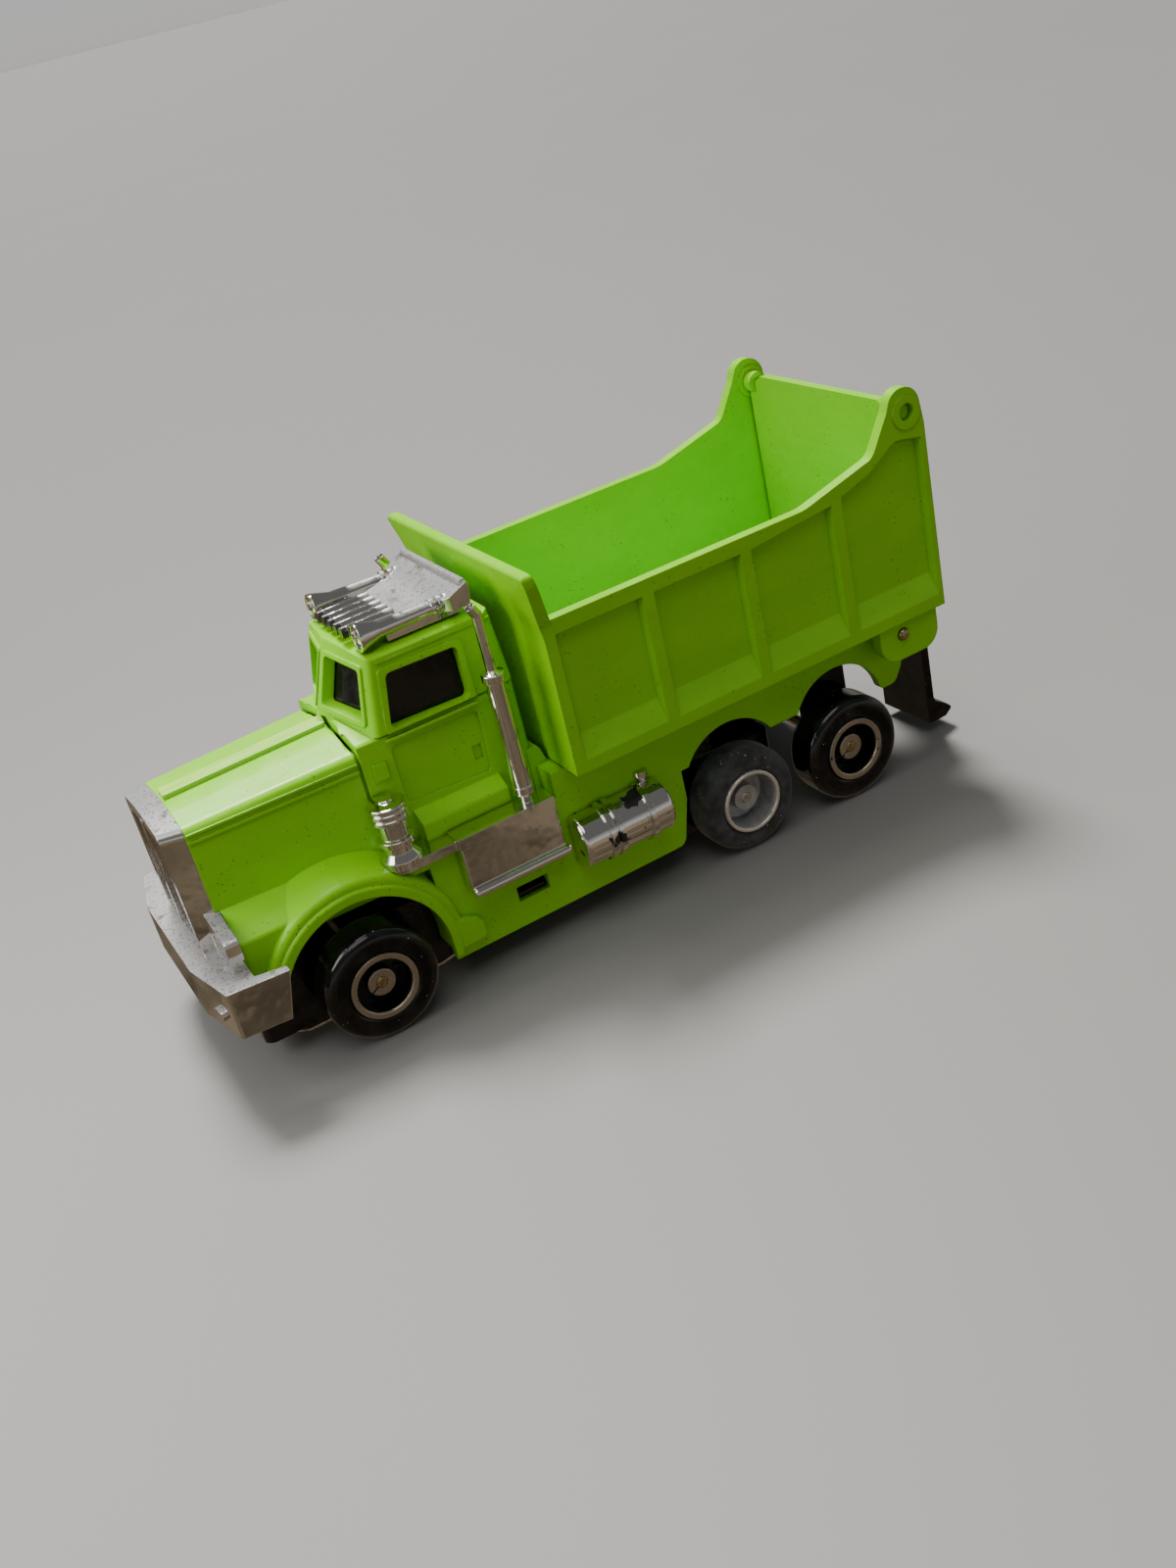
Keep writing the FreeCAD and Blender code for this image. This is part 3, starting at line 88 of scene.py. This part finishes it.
# ---- node graphs -------------------------------------------------------------------------
class Graph:
    """The node tree of a material or of the world, with short calls for the few nodes used here."""

    def __init__(self, name, world=False):
        self.block = (bpy.data.worlds if world else bpy.data.materials).new(name)
        self.block.use_nodes = True
        self.tree = self.block.node_tree
        self.shader = self.tree.nodes["Background" if world else "Principled BSDF"]
        self.where = self.add("ShaderNodeTexCoord").outputs["Generated" if world else "Object"]
        self.normal = self.add("ShaderNodeNewGeometry").outputs["Normal"]

    def add(self, kind, inputs=(), **settings):
        """A new node; inputs are (socket name or index, value or output) pairs."""
        node = self.tree.nodes.new(kind)
        for key, value in settings.items():
            setattr(node, key, value)
        for key, value in inputs:
            self.feed(node.inputs[key], value)
        return node

    def feed(self, socket, value):
        """Sets a plain value or links an output."""
        if isinstance(value, bpy.types.NodeSocket):
            self.tree.links.new(value, socket)
        else:
            socket.default_value = value

    def set(self, **sockets):
        """Plain values or links on the shader, by socket name with _ for spaces."""
        for key, value in sockets.items():
            self.feed(self.shader.inputs[key.replace("_", " ")], value)

    def noise(self, size_mm, detail=3.0, stretch=(1, 1, 1)):
        """Soft noise with features about size_mm across."""
        place = self.add("ShaderNodeMapping", [("Vector", self.where), ("Scale", stretch)])
        node = self.add("ShaderNodeTexNoise", [("Vector", place.outputs[0]), ("Scale", 1 / (size_mm * MM)),
                                               ("Detail", detail)])
        return node.outputs["Fac"]

    def cells(self, size_mm):
        """Distance from the nearest of scattered points about size_mm apart, 0 at each point."""
        node = self.add("ShaderNodeTexVoronoi", [("Vector", self.where), ("Scale", 1 / (size_mm * MM))])
        return node.outputs["Distance"]

    def span(self, value, low, high, to_low=0.0, to_high=1.0):
        """Value from low..high mapped to to_low..to_high, clamped."""
        node = self.add("ShaderNodeMapRange", [("Value", value), ("From Min", low), ("From Max", high),
                                               ("To Min", to_low), ("To Max", to_high)])
        return node.outputs["Result"]

    def maths(self, operation, a, b=0.0):
        """One step of arithmetic on plain values or outputs."""
        node = self.add("ShaderNodeMath", [(0, a), (1, b)], operation=operation)
        return node.outputs[0]

    def part(self, vector, letter):
        """One component of a vector."""
        return self.add("ShaderNodeSeparateXYZ", [(0, vector)]).outputs[letter]

    def along(self):
        """Position along the truck, larger towards its front."""
        return self.part(self.where, "X")

    def sideways(self):
        """Distance from the truck's middle plane."""
        return self.maths("ABSOLUTE", self.part(self.where, "Y"))

    def both(self, first, second):
        """1 where both masks are 1."""
        return self.maths("MULTIPLY", first, second)

    def blend(self, factor, first, second):
        """Colour from first to second."""
        node = self.add("ShaderNodeMix", data_type="RGBA")
        for socket, value in ((0, factor), (6, first), (7, second)):
            self.feed(node.inputs[socket], value)
        return node.outputs[2]

    def edges(self, radius_mm, low=0.02, high=0.25):
        """1 on sharp outer and inner edges, 0 on flat and gently curved faces."""
        rounded = self.add("ShaderNodeBevel", [("Radius", radius_mm * MM)], samples=4).outputs[0]
        dot = self.add("ShaderNodeVectorMath", [(0, rounded), (1, self.normal)], operation="DOT_PRODUCT")
        return self.span(dot.outputs["Value"], 1 - low, 1 - high)

    def relief(self, height, depth_mm, edge_mm=0.0):
        """Bump from a 0..1 height, over edges rounded by edge_mm."""
        inputs = [("Height", height), ("Distance", depth_mm * MM), ("Strength", 1.0)]
        if edge_mm:
            inputs.append(("Normal", self.add("ShaderNodeBevel", [("Radius", edge_mm * MM)],
                                              samples=4).outputs[0]))
        self.set(Normal=self.add("ShaderNodeBump", inputs).outputs[0])


def moulded_green():
    """Glossy lime plastic: faint flow marks, dust specks, small nicks along the edges, a painted highlight
    along the hood's hinge strip and painted shade in crevices.
    """
    g = Graph("moulded_green")
    flow = g.noise(9, 4, (1, 1, 2.5))
    colour = g.blend(g.span(flow, 0.3, 0.7), (0.235, 0.66, 0.0, 1), (0.27, 0.72, 0.0, 1))
    specks = g.both(g.span(g.cells(0.7), 0.16, 0.09), g.span(g.noise(5), 0.50, 0.58))
    colour = g.blend(g.maths("MULTIPLY", specks, 0.8), colour, (0.05, 0.08, 0.005, 1))
    nicks = g.both(g.edges(0.22), g.span(g.noise(1.3, 5), 0.54, 0.62))
    colour = g.blend(g.maths("MULTIPLY", nicks, 0.6), colour, (0.60, 0.82, 0.22, 1))
    rough = g.span(g.noise(3.5, 6), 0.3, 0.7, 0.24, 0.36)
    # Painted highlight: the hood's hinge strip is coloured a lighter, streaky green where it would catch the
    # light.
    strip = g.both(g.span(g.sideways(), *STRIP_Y), g.span(g.along(), *STRIP_X))
    painted_strip_highlight = g.both(strip, g.span(g.noise(0.35, 4, (0.06, 1, 1)), 0.35, 0.6, 0.35, 0.9))
    colour = g.blend(painted_strip_highlight, colour, (0.50, 0.80, 0.16, 1))
    # Painted shade: the colour darkens towards dark green in crevices, recesses and holes, where shade falls.
    painted_crevice_shade = g.add("ShaderNodeAmbientOcclusion", [("Distance", 0.9 * MM)], samples=6).outputs["AO"]
    colour = g.blend(g.span(painted_crevice_shade, 0.70, 0.30, 0.0, 0.75), colour, (0.05, 0.15, 0.0, 1))
    g.set(Base_Color=colour, Roughness=g.maths("ADD", rough, g.maths("MULTIPLY", specks, 0.3)))
    g.set(Specular_IOR_Level=0.32)
    g.relief(g.noise(0.9, 3), 0.010, 0.22)
    return g.block


def plated_chrome(name, pitted=False, worn=False, roof=False):
    """Vacuum plating on plastic: a mirror with slight waves.

    Pitted plating is dull grey with dark specks where it faces up. Worn plating has black bare patches.
    On the roof only the deflector is dull, and the marker lamps' front ends are painted near black as painted
    shadow and dark reflection.
    """
    g = Graph(name)
    cloud = g.noise(4, 5)
    up = g.span(g.part(g.normal, "Z"), 0.45, 0.8)
    if roof:
        up = g.both(up, g.span(g.along(), *DEFLECTOR_X))
    dull = g.both(up, g.span(g.noise(1.5, 4), 0.25, 0.5)) if pitted else g.span(cloud, 0.62, 0.72)
    colour = g.blend(dull, (0.74, 0.71, 0.66, 1), (0.30, 0.30, 0.31, 1))
    pits = g.both(g.span(g.cells(0.42), 0.28, 0.18), g.maths("MAXIMUM", dull, 0.06))
    bare_and_painted_shadow = g.maths("MULTIPLY", g.span(g.noise(3.2, 4), 0.62, 0.64), 1.0 if worn else 0.0)
    bare_and_painted_shadow = g.maths("MAXIMUM", bare_and_painted_shadow, g.both(g.edges(0.12), g.span(g.noise(1.1, 4), 0.60, 0.66)))
    # Painted shadow and dark reflection: the marker lamps' front ends are made near black and non-metallic,
    # together with the bare patches.
    if roof:
        painted_lamp_shadow = g.both(g.span(g.sideways(), *LAMP_ENDS_Y), g.span(g.along(), *LAMP_ENDS_X))
        bare_and_painted_shadow = g.maths("MAXIMUM", bare_and_painted_shadow, painted_lamp_shadow)
    dark = g.maths("MAXIMUM", pits, bare_and_painted_shadow)
    colour = g.blend(dark, colour, (0.02, 0.018, 0.018, 1))
    rough = g.maths("ADD", g.span(cloud, 0.3, 0.7, 0.04, 0.10), g.maths("MULTIPLY", dull, 0.36))
    plain = g.maths("MULTIPLY", dull, 0.7 if pitted else 0.1)
    plain = g.maths("MAXIMUM", g.maths("MULTIPLY", bare_and_painted_shadow, 0.9), plain)
    g.set(Base_Color=colour, Metallic=g.maths("SUBTRACT", 1.0, plain))
    g.set(Roughness=g.maths("ADD", rough, g.maths("MULTIPLY", dark, 0.2)))
    g.relief(g.noise(4.0, 2), 0.04, 0.15)
    return g.block


def tinted_glazing():
    """Near-black clear plastic with a few dust marks."""
    g = Graph("tinted_glazing")
    dust = g.span(g.noise(1.2, 6), 0.56, 0.75)
    colour = g.blend(g.maths("MULTIPLY", dust, 0.4), (0.008, 0.008, 0.007, 1), (0.04, 0.038, 0.035, 1))
    g.set(Base_Color=colour, Roughness=g.span(dust, 0, 1, 0.05, 0.25))
    g.set(Transmission_Weight=0.12, Specular_IOR_Level=0.3)
    g.relief(g.noise(6, 2), 0.02)
    return g.block


def moulded_black(name, centre=None):
    """Glossy black plastic with pale dust; a wheel's face rings are foil stamped round its centre."""
    g = Graph(name)
    dust = g.both(g.span(g.cells(0.9), 0.10, 0.05), g.span(g.noise(3), 0.5, 0.6))
    haze = g.span(g.noise(2.5, 6), 0.45, 0.75)
    colour = g.blend(haze, (0.003, 0.003, 0.003, 1), (0.012, 0.012, 0.011, 1))
    colour = g.blend(dust, colour, (0.45, 0.44, 0.42, 1))
    rough = g.span(haze, 0, 1, 0.10, 0.26)
    if centre:
        offset = g.add("ShaderNodeVectorMath", [(0, g.where), (1, (centre[0], 0, centre[1]))],
                       operation="SUBTRACT").outputs[0]
        flat = g.add("ShaderNodeVectorMath", [(0, offset), (1, (1, 0, 1))], operation="MULTIPLY").outputs[0]
        radius = g.add("ShaderNodeVectorMath", [(0, flat)], operation="LENGTH").outputs["Value"]
        ring = g.both(g.span(radius, *RING_INNER_R), g.span(radius, *RING_OUTER_R))
        ring = g.both(ring, g.span(g.sideways(), *RING_Y))
        hub = g.both(g.span(radius, *HUB_R), g.span(g.sideways(), *HUB_Y))
        worn = g.span(g.noise(0.8, 5), 0.70, 0.66)
        foil = g.both(g.maths("MAXIMUM", ring, hub), worn)
        colour = g.blend(foil, colour, (0.46, 0.40, 0.32, 1))
        rough = g.maths("ADD", rough, g.maths("MULTIPLY", foil, 0.12))
        g.set(Metallic=g.maths("MULTIPLY", foil, 0.85))
    g.set(Base_Color=colour, Roughness=rough, Specular_IOR_Level=0.5)
    g.relief(g.noise(0.7, 3), 0.01, 0.12)
    return g.block


def dusty_rubber():
    """Matt drive tyre, greyed by dust, with pale specks and a scuffed tread."""
    g = Graph("dusty_rubber")
    cloud = g.noise(1.4, 8)
    colour = g.blend(g.span(cloud, 0.38, 0.68), (0.013, 0.014, 0.015, 1), (0.06, 0.064, 0.066, 1))
    specks = g.both(g.span(g.cells(0.8), 0.12, 0.06), g.span(g.noise(2), 0.48, 0.6))
    colour = g.blend(specks, colour, (0.55, 0.56, 0.55, 1))
    g.set(Base_Color=colour, Roughness=g.span(cloud, 0.3, 0.7, 0.55, 0.85))
    g.set(Sheen_Weight=0.15, Sheen_Roughness=0.5)
    g.relief(g.noise(0.35, 5), 0.05)
    return g.block


def silver_rim():
    """Silver-grey hub: bright lip, duller dish."""
    g = Graph("silver_rim")
    lip = g.span(g.sideways(), *LIP_Y)
    cloud = g.noise(0.9, 6)
    dish = g.blend(g.span(cloud, 0.35, 0.65), (0.36, 0.37, 0.38, 1), (0.50, 0.50, 0.50, 1))
    g.set(Base_Color=g.blend(lip, dish, (0.72, 0.69, 0.62, 1)), Metallic=0.6)
    g.set(Roughness=g.maths("ADD", g.span(lip, 0, 1, 0.42, 0.22), g.span(cloud, 0.3, 0.7, -0.05, 0.08)))
    g.relief(g.noise(0.3, 4), 0.012, 0.1)
    return g.block


def bare_metal(name, dark, light, rough, grain=(1, 1, 1), size_mm=0.5):
    """A metal with colour and roughness that drift along its grain."""
    g = Graph(name)
    grain_noise = g.noise(size_mm, 5, grain)
    g.set(Base_Color=g.blend(g.span(grain_noise, 0.3, 0.7), dark, light), Metallic=1.0)
    g.set(Roughness=g.span(grain_noise, 0.3, 0.7, rough - 0.07, rough + 0.1))
    g.relief(grain_noise, 0.008, 0.08)
    return g.block


def plain_solid(name, dark, light, rough, size_mm, depth_mm):
    """A matt material with mottled colour and a grainy surface."""
    g = Graph(name)
    mottle = g.noise(size_mm, 6)
    g.set(Base_Color=g.blend(g.span(mottle, 0.3, 0.7), dark, light))
    g.set(Roughness=g.span(mottle, 0.3, 0.7, rough - 0.06, rough + 0.08))
    g.relief(g.noise(size_mm / 2, 4), depth_mm)
    return g.block


# ---- finish of every CAD node ------------------------------------------------------------
brass = bare_metal("dull_brass", (0.30, 0.23, 0.12, 1), (0.52, 0.40, 0.22, 1), 0.30)
by_slot = {
    "green_plastic": moulded_green(),
    "chrome_plate": plated_chrome("plated_chrome"),
    "glazing": tinted_glazing(),
    "black_plastic": moulded_black("moulded_black"),
    "white_plastic": plain_solid("nylon", (0.62, 0.60, 0.54, 1), (0.74, 0.72, 0.66, 1), 0.45, 1.0, 0.01),
    "rim_grey": silver_rim(),
    "rubber_tyre": dusty_rubber(),
    "steel": bare_metal("plain_steel", (0.42, 0.41, 0.40, 1), (0.62, 0.60, 0.58, 1), 0.28, (1, 0.1, 1)),
    "brass": brass,
    "copper": bare_metal("bright_copper", (0.52, 0.20, 0.10, 1), (0.78, 0.36, 0.22, 1), 0.28),
    "carbon": plain_solid("pressed_carbon", (0.012, 0.012, 0.012, 1), (0.03, 0.03, 0.03, 1), 0.6, 0.3, 0.02),
    "iron": bare_metal("laminated_iron", (0.20, 0.20, 0.21, 1), (0.34, 0.34, 0.35, 1), 0.42, (6, 1, 1)),
    "ferrite": plain_solid("ferrite", (0.03, 0.03, 0.032, 1), (0.06, 0.06, 0.062, 1), 0.55, 0.6, 0.02),
}
pitted_chrome = plated_chrome("pitted_chrome", pitted=True)
worn_chrome = plated_chrome("worn_chrome", worn=True)
finishes = {"grille": pitted_chrome, "front_bumper": pitted_chrome}
finishes["roof_trim"] = plated_chrome("roof_chrome", pitted=True, roof=True)
finishes.update({name: worn_chrome for name in ("fuel_tank_left", "fuel_tank_right")})
for axle in ("front", "rear"):
    low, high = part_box(axle + "_wheel_left")
    stamped = moulded_black("stamped_" + axle + "_wheel", ((low.x + high.x) / 2, (low.z + high.z) / 2))
    finishes[axle + "_wheel_left"] = finishes[axle + "_wheel_right"] = stamped
    finishes[axle + "_axle"] = brass

for row in frame["record"]["subparts"]:
    node = nodes[row["node"]]
    node.data.materials.clear()
    node.data.materials.append(finishes.get(row["node"], by_slot[row["material_slot"]]))


# ---- springs over the pickup shoes -------------------------------------------------------
def pressed_spring(side):
    """The coil over a pickup shoe, in place of the rigid CAD one: a copy of its mesh, carried by the truck.
    """
    rigid = "shoe_spring_" + side
    coil = bpy.data.objects.new("pressed_spring_" + side, nodes[rigid].data.copy())
    bpy.context.scene.collection.objects.link(coil)
    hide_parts(rigid)
    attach(coil, "truck")
    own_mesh(coil)


pressed_spring("left")
pressed_spring("right")


# ---- floor and light ---------------------------------------------------------------------
def studio_floor():
    """Pale matt floor, wide enough to fill every view.

    It throws no light up onto the truck and the plating doesn't mirror it; the surroundings do both.
    """
    corners = [(x * FLOOR_HALF, y * FLOOR_HALF, 0) for x, y in ((-1, -1), (1, -1), (1, 1), (-1, 1))]
    mesh = bpy.data.meshes.new("floor")
    mesh.from_pydata(corners, [], [(0, 1, 2, 3)])
    floor = bpy.data.objects.new("floor", mesh)
    bpy.context.scene.collection.objects.link(floor)
    g = Graph("pale_floor")
    tone = g.noise(150, 2)
    g.set(Base_Color=g.blend(tone, (0.215, 0.21, 0.205, 1), (0.23, 0.225, 0.22, 1)), Roughness=0.6)
    mesh.materials.append(g.block)
    floor.visible_diffuse = False
    floor.visible_glossy = False


def light_source(name, kind, power):
    """A slightly warm light, seen only by what it lights."""
    data = bpy.data.lights.new(name, kind)
    data.energy = power
    data.color = (1.0, 0.975, 0.935)
    light = bpy.data.objects.new(name, data)
    light.visible_camera = False
    bpy.context.scene.collection.objects.link(light)
    return light


def sunlight(name, direction, strength, spread):
    """An even light from one direction, soft at the shadows' edges; spread is in degrees."""
    light = light_source(name, "SUN", strength)
    light.data.angle = math.radians(spread)
    light.rotation_euler = (-Vector(direction)).to_track_quat("-Z", "Y").to_euler()


def softbox(name, place, aim, size, power):
    """A near square lamp: it brightens what is beside it, and the plating mirrors it."""
    light = light_source(name, "AREA", power)
    light.data.size = size
    light.location = place
    light.rotation_euler = (Vector(aim) - Vector(place)).to_track_quat("-Z", "Y").to_euler()


def surroundings(ground, horizon, zenith):
    """A bright, plain horizon, darker above, and warm and streaky below, for the plating to mirror."""
    g = Graph("studio", world=True)
    height = g.part(g.where, "Z")
    above = g.span(height, 0.04, 0.35, horizon, zenith)
    below = g.span(height, -0.45, 0.0, ground, horizon)
    streaks = g.span(g.noise(130, 3, (1, 1, 3)), 0.40, 0.60, 0.30, 1.0)
    streaks = g.maths("MAXIMUM", streaks, g.span(height, -0.05, 0.0))
    tint = g.blend(g.span(height, -0.2, 0.05), (1.0, 0.80, 0.55, 1), (0.96, 0.98, 1.0, 1))
    g.set(Color=tint, Strength=g.maths("MULTIPLY", g.maths("MINIMUM", above, below), streaks))
    bpy.context.scene.world = g.block


studio_floor()
sunlight("key", (-0.06, -0.27, 0.48), 5.2, 16)
sunlight("fill", (0.14, 0.30, 0.90), 0.7, 40)
softbox("front_lamp", (0.13, 0.0, 0.09), (0.03, 0.0, 0.03), 0.08, 0.12)
softbox("top_lamp", (0.02, -0.15, 0.50), (0.0, 0.0, 0.03), 0.16, 0.7)
surroundings(0.24, 0.54, 0.14)
